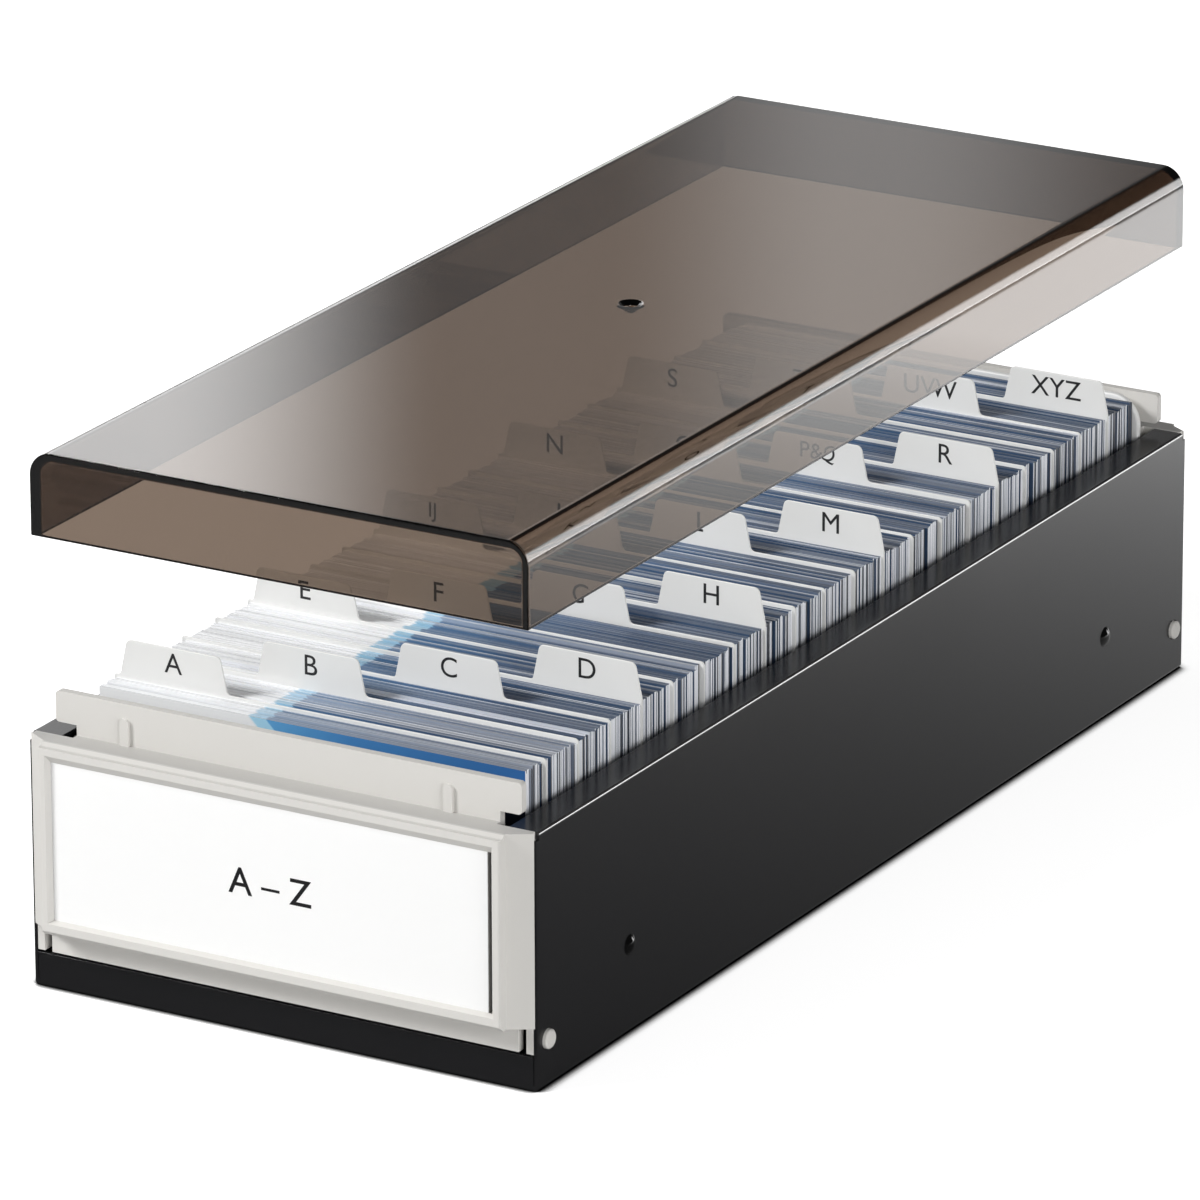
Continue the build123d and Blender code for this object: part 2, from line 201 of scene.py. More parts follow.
# A little light of its own makes the sheet white, also where it is seen through the lid
lift_here = combine(sweep, "MULTIPLY", combine(sweep, "MULTIPLY", seen_here, white_here), unshaded)
lift_level = combine(sweep, "MULTIPLY", seen_through, white_through - floor_light * bounce)
lift_level = combine(sweep, "ADD", lift_level, lift_here)
lift = sweep.nodes.new("ShaderNodeEmission")
sweep.links.new(lift_level, lift.inputs["Strength"])
shown = sweep.nodes.new("ShaderNodeAddShader")
sweep.links.new(matt.outputs[0], shown.inputs[0])
sweep.links.new(lift.outputs[0], shown.inputs[1])
spot = sweep.nodes.new("ShaderNodeNewGeometry")
axes = sweep.nodes.new("ShaderNodeSeparateXYZ")
sweep.links.new(spot.outputs["Position"], axes.inputs[0])
# What glossy surfaces mirror of it grows as exp(8 y), twice as bright beyond the box's
# right side, and fades further right
pool_middle, pool_most = 0.19, 2.1
growth = combine(sweep, "EXPONENT", combine(sweep, "MULTIPLY", axes.outputs["Y"], 8.0), None)
pool = combine(sweep, "MINIMUM", combine(sweep, "MULTIPLY", growth, pool_middle), pool_most)
pool = combine(sweep, "MULTIPLY", pool, soft_step(sweep, axes.outputs["X"], 0.12, 0.18, 1.0, 2.0))
pool = combine(sweep, "MULTIPLY", pool, soft_step(sweep, axes.outputs["X"], 0.40, 0.24, 0.25))
# The bank at the rear right goes on down to the floor, and a dim one lies in front
far_rear = combine(sweep, "MULTIPLY", soft_step(sweep, axes.outputs["Y"], 0.6, 1.2), rim_light)
far_right = combine(sweep, "MULTIPLY", far_rear, soft_step(sweep, axes.outputs["X"], 0.7, 1.1))
pool = combine(sweep, "ADD", pool, far_right)
before_box = soft_step(sweep, axes.outputs["Y"], -0.29, -0.34, 0.0, 0.45)
pool = combine(sweep, "ADD", pool, before_box)
pool_light = sweep.nodes.new("ShaderNodeEmission")
sweep.links.new(pool, pool_light.inputs["Strength"])
chosen = sweep.nodes.new("ShaderNodeMixShader")
sweep.links.new(mirrored_share(sweep, ray), chosen.inputs["Fac"])
sweep.links.new(shown.outputs[0], chosen.inputs[1])
sweep.links.new(pool_light.outputs[0], chosen.inputs[2])
sweep_out = sweep.nodes.new("ShaderNodeOutputMaterial")
sweep.links.new(chosen.outputs[0], sweep_out.inputs["Surface"])
sweep_half = 6.0
sweep_level = -0.0002
sweep_corners = np.array([(-1, -1), (1, -1), (1, 1), (-1, 1)]) * sweep_half
sweep_mesh = bpy.data.meshes.new("studio_sweep")
sweep_mesh.from_pydata([(x, y, sweep_level) for x, y in sweep_corners], [], [(0, 1, 2, 3)])
sweep_mesh.materials.append(sweep_paint)
sweep_sheet = new_piece("studio_sweep", sweep_mesh)

# Steel tray: one sheet folded up at the sides, folded in at their tops and coated
# with smooth dark enamel. Each cut edge and fold is slightly rolled by the paint.


def grain_group():
    """A node group with a fine, even unevenness of a coated or moulded surface: noise at
    a given scale gives a bump of a given depth, and moves roughness between two values."""
    group = bpy.data.node_groups.new("fine_grain", "ShaderNodeTree")
    for socket in ("Scale", "Depth", "Smooth", "Rough"):
        group.interface.new_socket(socket, in_out="INPUT", socket_type="NodeSocketFloat")
    group.interface.new_socket("Roughness", in_out="OUTPUT", socket_type="NodeSocketFloat")
    group.interface.new_socket("Normal", in_out="OUTPUT", socket_type="NodeSocketVector")
    inside = group.nodes
    wires = group.links
    given = inside.new("NodeGroupInput")
    result = inside.new("NodeGroupOutput")
    where = inside.new("ShaderNodeTexCoord")
    speck = inside.new("ShaderNodeTexNoise")
    speck.inputs["Detail"].default_value = 3.0
    wires.new(where.outputs["Object"], speck.inputs["Vector"])
    wires.new(given.outputs["Scale"], speck.inputs["Scale"])
    bump = inside.new("ShaderNodeBump")
    wires.new(given.outputs["Depth"], bump.inputs["Distance"])
    wires.new(speck.outputs["Fac"], bump.inputs["Height"])
    cloud = inside.new("ShaderNodeTexNoise")
    cloud.inputs["Scale"].default_value = 22.0
    cloud.inputs["Detail"].default_value = 4.0
    wires.new(where.outputs["Object"], cloud.inputs["Vector"])
    span = inside.new("ShaderNodeMapRange")
    span.inputs["From Min"].default_value = 0.3
    span.inputs["From Max"].default_value = 0.7
    wires.new(cloud.outputs["Fac"], span.inputs["Value"])
    wires.new(given.outputs["Smooth"], span.inputs["To Min"])
    wires.new(given.outputs["Rough"], span.inputs["To Max"])
    wires.new(span.outputs["Result"], result.inputs["Roughness"])
    wires.new(bump.outputs["Normal"], result.inputs["Normal"])
    return group


fine_grain = grain_group()


def coated(name, colour, scale, depth, smooth, rough):
    """A plain coloured surface with fine_grain on it, of that scale, depth and two levels of
    roughness; returns the material, its tree and its shader, so that a piece can add to it."""
    material = bpy.data.materials.new(name)
    material.use_nodes = True
    tree = material.node_tree
    shader = tree.nodes["Principled BSDF"]
    shader.inputs["Base Color"].default_value = (*colour, 1.0)
    grain = tree.nodes.new("ShaderNodeGroup")
    grain.node_tree = fine_grain
    for socket, value in (("Scale", scale), ("Depth", depth), ("Smooth", smooth), ("Rough", rough)):
        grain.inputs[socket].default_value = value
    tree.links.new(grain.outputs["Roughness"], shader.inputs["Roughness"])
    tree.links.new(grain.outputs["Normal"], shader.inputs["Normal"])
    return material, tree, shader


def object_axes(tree):
    """The object coordinates of a point as X, Y and Z, and the surface's own direction."""
    where = tree.nodes.new("ShaderNodeTexCoord")
    axes = tree.nodes.new("ShaderNodeSeparateXYZ")
    tree.links.new(where.outputs["Object"], axes.inputs[0])
    return axes.outputs, where.outputs["Normal"]


def blend(tree, factor, first, second):
    """A colour from first to second by factor; each colour is a socket or three numbers."""
    mix = tree.nodes.new("ShaderNodeMix")
    mix.data_type = "RGBA"
    tree.links.new(factor, mix.inputs["Factor"])
    for entry, given in (("A", first), ("B", second)):
        if isinstance(given, bpy.types.NodeSocket):
            tree.links.new(given, mix.inputs[entry])
        else:
            mix.inputs[entry].default_value = (*given, 1.0)
    return mix.outputs["Result"]


def coat(piece, *materials):
    """Give a piece these materials and no others."""
    piece.data.materials.clear()
    for material in materials:
        piece.data.materials.append(material)


def smooth_but_sharp(mesh, degrees):
    """Shade a mesh smooth, except over edges that turn by more than degrees."""
    mesh.shade_smooth()
    mesh.set_sharp_from_angle(angle=math.radians(degrees))


def even_normals(piece):
    """Weight normals by area, so that flat faces look flat right up to their rolled edges."""
    even = piece.modifiers.new("even_normals", "WEIGHTED_NORMAL")
    even.keep_sharp = True


def rolled_copy(node, name, roll, segments, hard_angle):
    """A closed copy of a CAD node whose hard edges are rolled over by roll. Points closer
    than 2 thousandths of a millimetre and triangles in one plane are joined first."""
    work = bmesh.new()
    work.from_mesh(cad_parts[node].data)
    bmesh.ops.remove_doubles(work, verts=work.verts, dist=0.002 * mm)
    bmesh.ops.dissolve_limit(
        work, angle_limit=math.radians(0.6), verts=work.verts, edges=work.edges
    )
    hard = [edge for edge in work.edges if edge.calc_face_angle(0.0) > hard_angle]
    bmesh.ops.bevel(
        work,
        geom=hard,
        offset=roll,
        offset_type="OFFSET",
        segments=segments,
        profile=0.5,
        affect="EDGES",
        clamp_overlap=True,
    )
    mesh = bpy.data.meshes.new(name)
    work.to_mesh(mesh)
    work.free()
    smooth_but_sharp(mesh, 30)
    piece = new_piece(name, mesh)
    even_normals(piece)
    return piece


enamel_colour, bare_metal = (0.0128, 0.0128, 0.0138), (0.2, 0.2, 0.2)
enamel, tree, enamel_shader = coated("dark_enamel", enamel_colour, 2600.0, 0.004 * mm, 0.18, 0.25)
enamel_shader.inputs["IOR"].default_value = 1.5
# The paint is rubbed bright along the folds at the top, in a band about 0.5 mm high
_, steel_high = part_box("steel_tray")
axes, _ = object_axes(tree)
outward = combine(tree, "ABSOLUTE", axes["X"], None)
near_side = soft_step(tree, outward, steel_high.x - 0.35 * mm, steel_high.x - 0.1 * mm)
near_top = soft_step(tree, axes["Z"], steel_high.z - 0.7 * mm, steel_high.z - 0.35 * mm)
rubbed = combine(tree, "MULTIPLY", near_side, near_top)
fold_tone = blend(tree, rubbed, enamel_colour, bare_metal)
tree.links.new(fold_tone, enamel_shader.inputs["Base Color"])
tree.links.new(rubbed, enamel_shader.inputs["Metallic"])
steel_edge_roll = 0.08 * mm
steel = rolled_copy("steel_tray", "steel_tray_coated", steel_edge_roll, 2, math.radians(50))
# The folded tops are duller, because cards and hands slide over them
flange_enamel = enamel.copy()
flange_enamel.name = "dull_enamel"
flange_shader = flange_enamel.node_tree.nodes["Principled BSDF"]
flange_shader.inputs["Specular IOR Level"].default_value = 0.14
coat(steel, enamel, flange_enamel)
face_count = len(steel.data.polygons)
face_normals, face_centres = np.empty(3 * face_count), np.empty(3 * face_count)
steel.data.polygons.foreach_get("normal", face_normals)
steel.data.polygons.foreach_get("center", face_centres)
upward = face_normals[2::3] > 0.97
topmost = face_centres[2::3] > steel_high.z - 0.2 * mm
steel.data.polygons.foreach_set("material_index", (upward & topmost).astype(np.int32))
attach(steel, "box")
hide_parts("steel_tray")

# Inner tray: a second tray of painted sheet, folded with stepped sides. It stands
# unseen in the steel tray and holds the cards.
liner_paint, _, _ = coated("liner_enamel", (0.02, 0.02, 0.021), 2000.0, 0.006 * mm, 0.34, 0.42)
coat(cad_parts["inner_tray"], liner_paint)

# Rivets: four glossy black ones with low round heads, which fasten the inner tray
# through the steel sides.
rivet_paint, _, _ = coated("rivet_black", (0.002, 0.002, 0.002), 3000.0, 0.003 * mm, 0.06, 0.1)
coat(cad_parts["side_rivets"], rivet_paint)
rivets_low, rivets_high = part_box("side_rivets")
head_radius = (rivets_high.z - rivets_low.z) / 2
dome_radius = head_radius + 0.15 * mm
dome_height = 0.95 * mm
dome_lift = 0.01 * mm
dome_steps, dome_around = 8, 32


def ring_walls(loops):
    """Four-sided faces between each closed loop of point numbers and the next one."""
    this, nxt = loops[:-1], loops[1:]
    return np.stack([this, np.roll(this, -1, 1), np.roll(nxt, -1, 1), nxt], -1).reshape(-1, 4)


def round_heads(name):
    """Four low domes over the rivets: parts of a sphere whose half angle is
    2 atan(height / radius), in rings of one angle each, closed by a flat base."""
    half_angle = 2 * math.atan(dome_height / dome_radius)
    ball = dome_radius / math.sin(half_angle)
    tilt = np.linspace(half_angle, 0, dome_steps)[:-1]
    turn = 2 * math.pi * np.arange(dome_around) / dome_around
    ring_radius = ball * np.sin(tilt)
    ring_height = ball * (np.cos(tilt) - math.cos(half_angle))
    tip = len(tilt) * dome_around
    across = np.append(np.repeat(ring_height, dome_around), dome_height) + rivets_high.x + dome_lift
    along = np.append(np.outer(ring_radius, np.cos(turn)), 0.0)
    up = np.append(np.outer(ring_radius, np.sin(turn)), 0.0) + (rivets_low.z + rivets_high.z) / 2
    rings = np.arange(tip).reshape(-1, dome_around)
    top_fan = np.column_stack([rings[-1], np.roll(rings[-1], -1), np.full(dome_around, tip)])
    base = rings[:1, ::-1]
    all_points, all_faces = [], []
    for side in (-1, 1):
        for middle in (rivets_low.y + head_radius, rivets_high.y - head_radius):
            start = len(all_points) * (tip + 1)
            all_points.append(np.column_stack([side * across, along + middle, up]))
            for faces in (ring_walls(rings), top_fan, base):
                all_faces += (faces[:, ::side] + start).tolist()
    mesh = bpy.data.meshes.new(name)
    mesh.from_pydata(np.concatenate(all_points), [], all_faces)
    smooth_but_sharp(mesh, 40)
    mesh.materials.append(rivet_paint)
    return new_piece(name, mesh)


rivet_heads = round_heads("rivet_heads")
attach(rivet_heads, "box")

# End panels: one light grey moulding, used at the front and turned round at the
# rear. Its legs' pegs snap into the steel sides.
panel_colour = (0.683, 0.668, 0.638)
# The groove colour is painted shade, not the plastic's own colour
groove_shade_colour = (0.40, 0.39, 0.375)
# The ledge colour is painted shade on the flat ledge
ledge_shade_colour = (0.52, 0.51, 0.49)
panel_plastic, tree, panel_shader = coated("panel_plastic", panel_colour, 3800.0, 0.008 * mm, 0.42, 0.52)
panel_shader.inputs["Specular IOR Level"].default_value = 0.2
axes, facing = object_axes(tree)
# Painted shade makes the grooves at the ends of the label's pocket dark
label_low, label_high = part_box("front_label")
inside = soft_step(tree, axes["Y"], label_low.y - 0.06 * mm, label_low.y + 0.06 * mm)
not_behind = soft_step(tree, axes["Y"], label_high.y + 1.5 * mm, label_high.y + 1.4 * mm)
outward = combine(tree, "ABSOLUTE", axes["X"], None)
not_beside = soft_step(tree, outward, -label_low.x + 0.3 * mm, -label_low.x + 0.25 * mm)
not_above = soft_step(tree, axes["Z"], label_high.z + 0.3 * mm, label_high.z + 0.2 * mm)
shaded = combine(tree, "MULTIPLY", combine(tree, "MULTIPLY", inside, not_behind), not_beside)
shaded = combine(tree, "MULTIPLY", shaded, not_above)
groove_shade_tone = blend(tree, shaded, panel_colour, groove_shade_colour)
# Painted shade: the ledge in front of the tongue lies flat and is coloured darker
upright = tree.nodes.new("ShaderNodeSeparateXYZ")
tree.links.new(facing, upright.inputs[0])
level_face = soft_step(tree, upright.outputs["Z"], 0.6, 0.9)
ledge_low = soft_step(tree, axes["Z"], steel_high.z - 0.1 * mm, steel_high.z)
ledge_high = soft_step(tree, axes["Z"], steel_high.z + 0.4 * mm, steel_high.z + 0.3 * mm)
on_ledge = combine(tree, "MULTIPLY", combine(tree, "MULTIPLY", ledge_low, ledge_high), level_face)
ledge_shade_tone = blend(tree, on_ledge, groove_shade_tone, ledge_shade_colour)
tree.links.new(ledge_shade_tone, panel_shader.inputs["Base Color"])
panel_edge_roll = 0.11 * mm
for node in ("front_panel", "rear_panel"):
    panel = rolled_copy(node, f"{node}_moulding", panel_edge_roll, 2, math.radians(30))
    coat(panel, panel_plastic)
    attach(panel, "box")
    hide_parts(node)

# Label: a white card behind the front panel's rim, with a plain index range
# printed on it.
label_white, cut_end_grey = (0.95, 0.95, 0.945), (0.45, 0.44, 0.43)
label_paper, tree, label_shader = coated("label_paper", label_white, 1500.0, 0.004 * mm, 0.5, 0.6)
# Its right cut end lies in the shade of the groove
axes, _ = object_axes(tree)
cut_end = soft_step(tree, axes["X"], label_high.x - 0.03 * mm, label_high.x - 0.01 * mm)
tree.links.new(blend(tree, cut_end, label_white, cut_end_grey), label_shader.inputs["Base Color"])
coat(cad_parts["front_label"], label_paper)
ink, _, _ = coated("black_ink", (0.012, 0.012, 0.013), 1500.0, 0.002 * mm, 0.4, 0.5)


def printed_words(name, entries, swell):
    """One mesh of upright letters for entries of (text, cap height, x, y, z of the centre).
    The letters face -Y; swell widens each stroke by that share of the text's size."""
    all_points, all_faces = [], []
    count = 0
    for text, cap_height, x, y, z in entries:
        line = bpy.data.curves.new(name, "FONT")
        line.body = text
        line.align_x = "CENTER"
        line.size = 1.0
        line.extrude = 0.002
        line.offset = swell
        line.resolution_u = 6
        holder = bpy.data.objects.new(name, line)
        flat = bpy.data.meshes.new_from_object(holder)
        points = np.empty(len(flat.vertices) * 3)
        flat.vertices.foreach_get("co", points)
        points = points.reshape(-1, 3)
        faces = [tuple(i + count for i in face.vertices) for face in flat.polygons]
        bottom, top = points[:, 1].min(), points[:, 1].max()
        left, right = points[:, 0].min(), points[:, 0].max()
        scale = cap_height / (top - bottom)
        all_points.append(np.column_stack([
            x + (points[:, 0] - (left + right) / 2) * scale,
            y - points[:, 2] * scale,
            z + (points[:, 1] - (bottom + top) / 2) * scale,
        ]))
        all_faces += faces
        count += len(points)
        bpy.data.objects.remove(holder)
        bpy.data.meshes.remove(flat)
        bpy.data.curves.remove(line)
    mesh = bpy.data.meshes.new(name)
    mesh.from_pydata(np.concatenate(all_points).tolist(), [], all_faces)
    mesh.materials.append(ink)
    return new_piece(name, mesh)


label_cap_height = 5.2 * mm
ink_lift = 0.01 * mm
label_middle = (label_low.z + label_high.z) / 2
label_entry = ("A – Z", label_cap_height, 0.0, label_low.y - ink_lift, label_middle)
label_words = printed_words("label_index_range", [label_entry], 0.004)
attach(label_words, "box")

# Cards: each pack is some two dozen loose cards, printed with a light blue band and a
# blue field on white. They stand a little uneven, in bunches with narrow gaps between.
card_paper = bpy.data.materials.new("printed_card")
card_paper.use_nodes = True
tree = card_paper.node_tree
card_shader = tree.nodes["Principled BSDF"]
card_shader.inputs["Roughness"].default_value = 0.45
place = tree.nodes.new("ShaderNodeUVMap")
place.uv_map = "card_place"
axes = tree.nodes.new("ShaderNodeSeparateXYZ")
tree.links.new(place.outputs["UV"], axes.inputs[0])
# The print's edge slants down to the right at 45 degrees, where across + up is constant
slant = combine(tree, "ADD", axes.outputs["X"], axes.outputs["Y"])
print_left, print_right = -45.5 * mm, 45.5 * mm
along_print = tree.nodes.new("ShaderNodeMapRange")
along_print.inputs["From Min"].default_value = print_left
along_print.inputs["From Max"].default_value = print_right
tree.links.new(slant, along_print.inputs["Value"])


def print_ramp(areas):
    """Colours across the print, for pairs of (mm across at the card's top edge, colour). The
    first colour also holds left of its place, and the last one right of it."""
    ramp = tree.nodes.new("ShaderNodeValToRGB")
    stops = ramp.color_ramp.elements
    stops.remove(stops[0])
    stops[0].position = 0.0
    stops[0].color = (*areas[0][1], 1)
    for across, colour in areas:
        share = (across * mm - print_left) / (print_right - print_left)
        stops.new(share).color = (*colour, 1)
    tree.links.new(along_print.outputs["Result"], ramp.inputs["Fac"])
    return ramp.outputs["Color"]


def per_face(name):
    """The value that a card's face holds under name."""
    held = tree.nodes.new("ShaderNodeAttribute")
    held.attribute_name = name
    return held.outputs["Fac"]


front_print = print_ramp([
    (-13.2, (0.90, 0.91, 0.92)),
    (-13.0, (0.40, 0.69, 0.87)),
    (-9.5, (0.38, 0.67, 0.86)),
    (-9.3, (0.11, 0.36, 0.67)),
    (8.0, (0.06, 0.23, 0.52)),
    (45.0, (0.03, 0.13, 0.36)),
])
# Painted shade: low down the field is nearly black
shaded_low_down = soft_step(tree, axes.outputs["Y"], -4.5 * mm, -7.5 * mm)
front_print = blend(tree, shaded_low_down, front_print, (0.003, 0.005, 0.012))
# Ink that has crept over the cut edge is duller than on the face
edge_print = print_ramp([
    (-13.4, (0.95, 0.955, 0.96)),
    (-13.0, (0.34, 0.57, 0.73)),
    (-9.6, (0.32, 0.54, 0.71)),
    (-9.2, (0.08, 0.165, 0.30)),
    (20.0, (0.05, 0.085, 0.155)),
    (45.0, (0.042, 0.07, 0.12)),
])
# paper_shaded is painted shade for the dark cut ends; elsewhere the shade value gives the paper a random
# tone
paper_shaded, paper_open = (0.02, 0.024, 0.034), (0.93, 0.95, 1.0)
paper = blend(tree, per_face("shade"), paper_shaded, paper_open)
toned = blend(tree, per_face("creep"), paper, edge_print)
toned = blend(tree, per_face("printed"), toned, front_print)
tree.links.new(toned, card_shader.inputs["Base Color"])

chance = np.random.default_rng(20)
card_thickness = 0.38 * mm
# With the gap before it a card takes up this many thicknesses
card_pitch = 1.19
# Shares of the cards that start a new bunch, have ends painted dark as shade, have
# worn top edges and have the print's ink on their cut edges
bunch_share, shaded_share, worn_share, soaked_share = 0.38, 0.22, 0.28, 0.86
most_shift_left, most_shift_right = -0.5 * mm, 0.4 * mm
most_drop, most_rise = -0.6 * mm, 0.15 * mm
# Corners of a card of width 2, depth 1 and height 1, and its front, right, back, left,
# top and bottom face
card_corners = np.array([
    (-1, 0, 0), (1, 0, 0), (1, 1, 0), (-1, 1, 0), (-1, 0, 1), (1, 0, 1), (1, 1, 1), (-1, 1, 1),
])
card_faces = np.array([
    (0, 1, 5, 4), (1, 2, 6, 5), (2, 3, 7, 6), (3, 0, 4, 7), (4, 5, 6, 7), (3, 2, 1, 0),
])
front_face, top_face = 0, 4
loops_in_card = card_faces.size
# How much of its print a card shows that stands behind another one
hidden_print = 0.1


def card_pack(node, front_share, edge_ink):
    """All cards of one pack in one mesh. Card i is a box whose front is at the sum of the
    thicknesses and gaps before it; its shift across and its height are those of its bunch,
    plus a little of its own. front_share is how much of the print the first card's front
    shows, edge_ink how much of it a soaked edge has taken."""
    low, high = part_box(node)
    depth = high.y - low.y
    count = max(int(depth / (card_thickness * card_pitch)), 2)
    # A wide gap starts a new bunch
    parted = chance.random(count) < bunch_share
    parted[0] = False
    gaps = np.where(parted, chance.uniform(0.7, 1.3, count), chance.uniform(0.06, 0.14, count))
    gaps *= (depth - count * card_thickness) / gaps.sum()
    fronts = low.y + np.cumsum(gaps) + np.arange(count) * card_thickness
    bunch = np.cumsum(parted)
    shift = chance.normal(0, 0.16, count + 1)[bunch] + chance.normal(0, 0.06, count)
    rise = chance.uniform(-0.45, 0.05, count + 1)[bunch] + chance.normal(0, 0.06, count)
    shift = np.clip(shift * mm, most_shift_left, most_shift_right)
    if front_share == 1.0:
        rise[0] = 0.1
    rise = np.clip(rise * mm, most_drop, most_rise)
    points = np.empty((count, 8, 3))
    points[:, :, 0] = card_corners[:, 0] * (high.x - low.x) / 2 + shift[:, None]
    points[:, :, 1] = fronts[:, None] + card_corners[:, 1] * card_thickness
    points[:, :, 2] = low.z + card_corners[:, 2] * (high.z - low.z + rise[:, None])
    faces = (card_faces[None] + 8 * np.arange(count)[:, None, None]).reshape(-1, 4)
    mesh = bpy.data.meshes.new(node)
    mesh.from_pydata(points.reshape(-1, 3), [], faces.tolist())
    at_loops = points.reshape(-1, 3)[faces.reshape(-1)]
    across = at_loops[:, 0] - np.repeat(shift, loops_in_card)
    up = at_loops[:, 2] - high.z - np.repeat(rise, loops_in_card)
    uv = mesh.uv_layers.new(name="card_place")
    uv.data.foreach_set("uv", np.column_stack([across, up]).ravel())
    # About a fifth of the cut ends are painted dark as shade, the rest are pale
    pale = chance.random(count) > shaded_share
    end_shade = np.where(pale, chance.uniform(0.88, 1.0, count), chance.uniform(0.0, 0.1, count))
    shade = np.repeat(end_shade[:, None], 6, 1)
    shade[:, front_face] = chance.uniform(0.75, 1.0, count)
    clean = chance.random(count) > worn_share
    shade[:, top_face] = np.where(clean, 1.0, chance.uniform(0.5, 0.85, count))
    creep = np.zeros((count, 6))
    soaked = chance.random(count) < soaked_share
    spread = chance.uniform(-0.2, 0.08, count)
    creep[:, top_face] = np.clip(spread + np.where(soaked, edge_ink, 0.5 * edge_ink), 0, 1)
    creep[:, front_face] = np.clip(creep[:, top_face] + chance.normal(0.04, 0.15, count), 0, 1)
    printed = np.zeros((count, 6))
    printed[:, front_face] = hidden_print
    printed[0, front_face] = front_share
    for attribute, values in (("shade", shade), ("creep", creep), ("printed", printed)):
        layer = mesh.attributes.new(attribute, "FLOAT", "CORNER")
        layer.data.foreach_set("value", np.repeat(values.ravel(), 4).astype(np.float32))
    mesh.materials.append(card_paper)
    piece = new_piece(f"{node}_cards", mesh)
    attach(piece, "box")
    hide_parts(node)


pack_nodes = sorted(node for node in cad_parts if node.startswith("card_pack"))
for number, node in enumerate(pack_nodes):
    # Only the very first card shows its print, and the first two packs have paler edges
    front_share = 1.0 if number == 0 else hidden_print
    edge_ink = 0.78 if number < 2 else 1.0
    card_pack(node, front_share, edge_ink)

# Index dividers: white sheets with one lettered tab each, stamped with rounded
# corners; the cut leaves a slightly rolled edge.


def rounded_outline(corners, radii, steps=7):
    """A closed outline through corners, each turned through an arc of its own radius: the
    arc touches both sides at radius * tan(half the turn) from the corner."""
    corners = np.array(corners, float)
    points = []
    for index, radius in enumerate(radii):
        here = corners[index]
        back = corners[index - 1] - here
        ahead = corners[(index + 1) % len(corners)] - here
        back = back / np.linalg.norm(back)
        ahead = ahead / np.linalg.norm(ahead)
        half = math.acos(np.clip(back @ ahead, -1, 1)) / 2
        if radius <= 0 or abs(half - math.pi / 2) < 0.01:
            points.append(here[None])
            continue
        bisector = (back + ahead) / np.linalg.norm(back + ahead)
        centre = here + bisector * radius / math.sin(half)
        start = here + back * radius / math.tan(half) - centre
        end = here + ahead * radius / math.tan(half) - centre
        share = np.linspace(0, 1, steps)[:, None]
        turn = math.pi - 2 * half
        arc = (np.sin((1 - share) * turn) * start + np.sin(share * turn) * end) / math.sin(turn)
        points.append(centre + arc)
    return np.concatenate(points)


def stamped_sheet(name, outline, front, back, roll, steps=3):
    """A flat sheet in the XZ plane from y = front to y = back. outline runs clockwise seen
    from the front. Its edges are rolled over by a quarter circle: roll * (1 - cos a) from
    each face a ring lies roll * (1 - sin a) inside the outline."""
    ahead = np.roll(outline, -1, 0) - outline
    behind = outline - np.roll(outline, 1, 0)
    ahead /= np.linalg.norm(ahead, axis=1)[:, None]
    behind /= np.linalg.norm(behind, axis=1)[:, None]
    along = ahead + behind
    along /= np.linalg.norm(along, axis=1)[:, None]
    inward = np.column_stack([along[:, 1], -along[:, 0]])
    angle = np.linspace(0, math.pi / 2, steps)
    steps_in = roll * (1 - np.sin(angle))
    depth_in = roll * (1 - np.cos(angle))
    sides = [(front + d, i) for d, i in zip(depth_in, steps_in)]
    sides += [(back - d, i) for d, i in zip(depth_in[::-1], steps_in[::-1])]
    count = len(outline)
    rings = np.stack([np.insert(outline + i * inward, 1, y, axis=1) for y, i in sides])
    loops = np.arange(len(sides) * count).reshape(-1, count)
    faces = ring_walls(loops)[:, ::-1].tolist() + [loops[0][::-1].tolist(), loops[-1].tolist()]
    mesh = bpy.data.meshes.new(name)
    mesh.from_pydata(rings.reshape(-1, 3), [], faces)
    smooth_but_sharp(mesh, 50)
    piece = new_piece(name, mesh)
    even_normals(piece)
    return piece


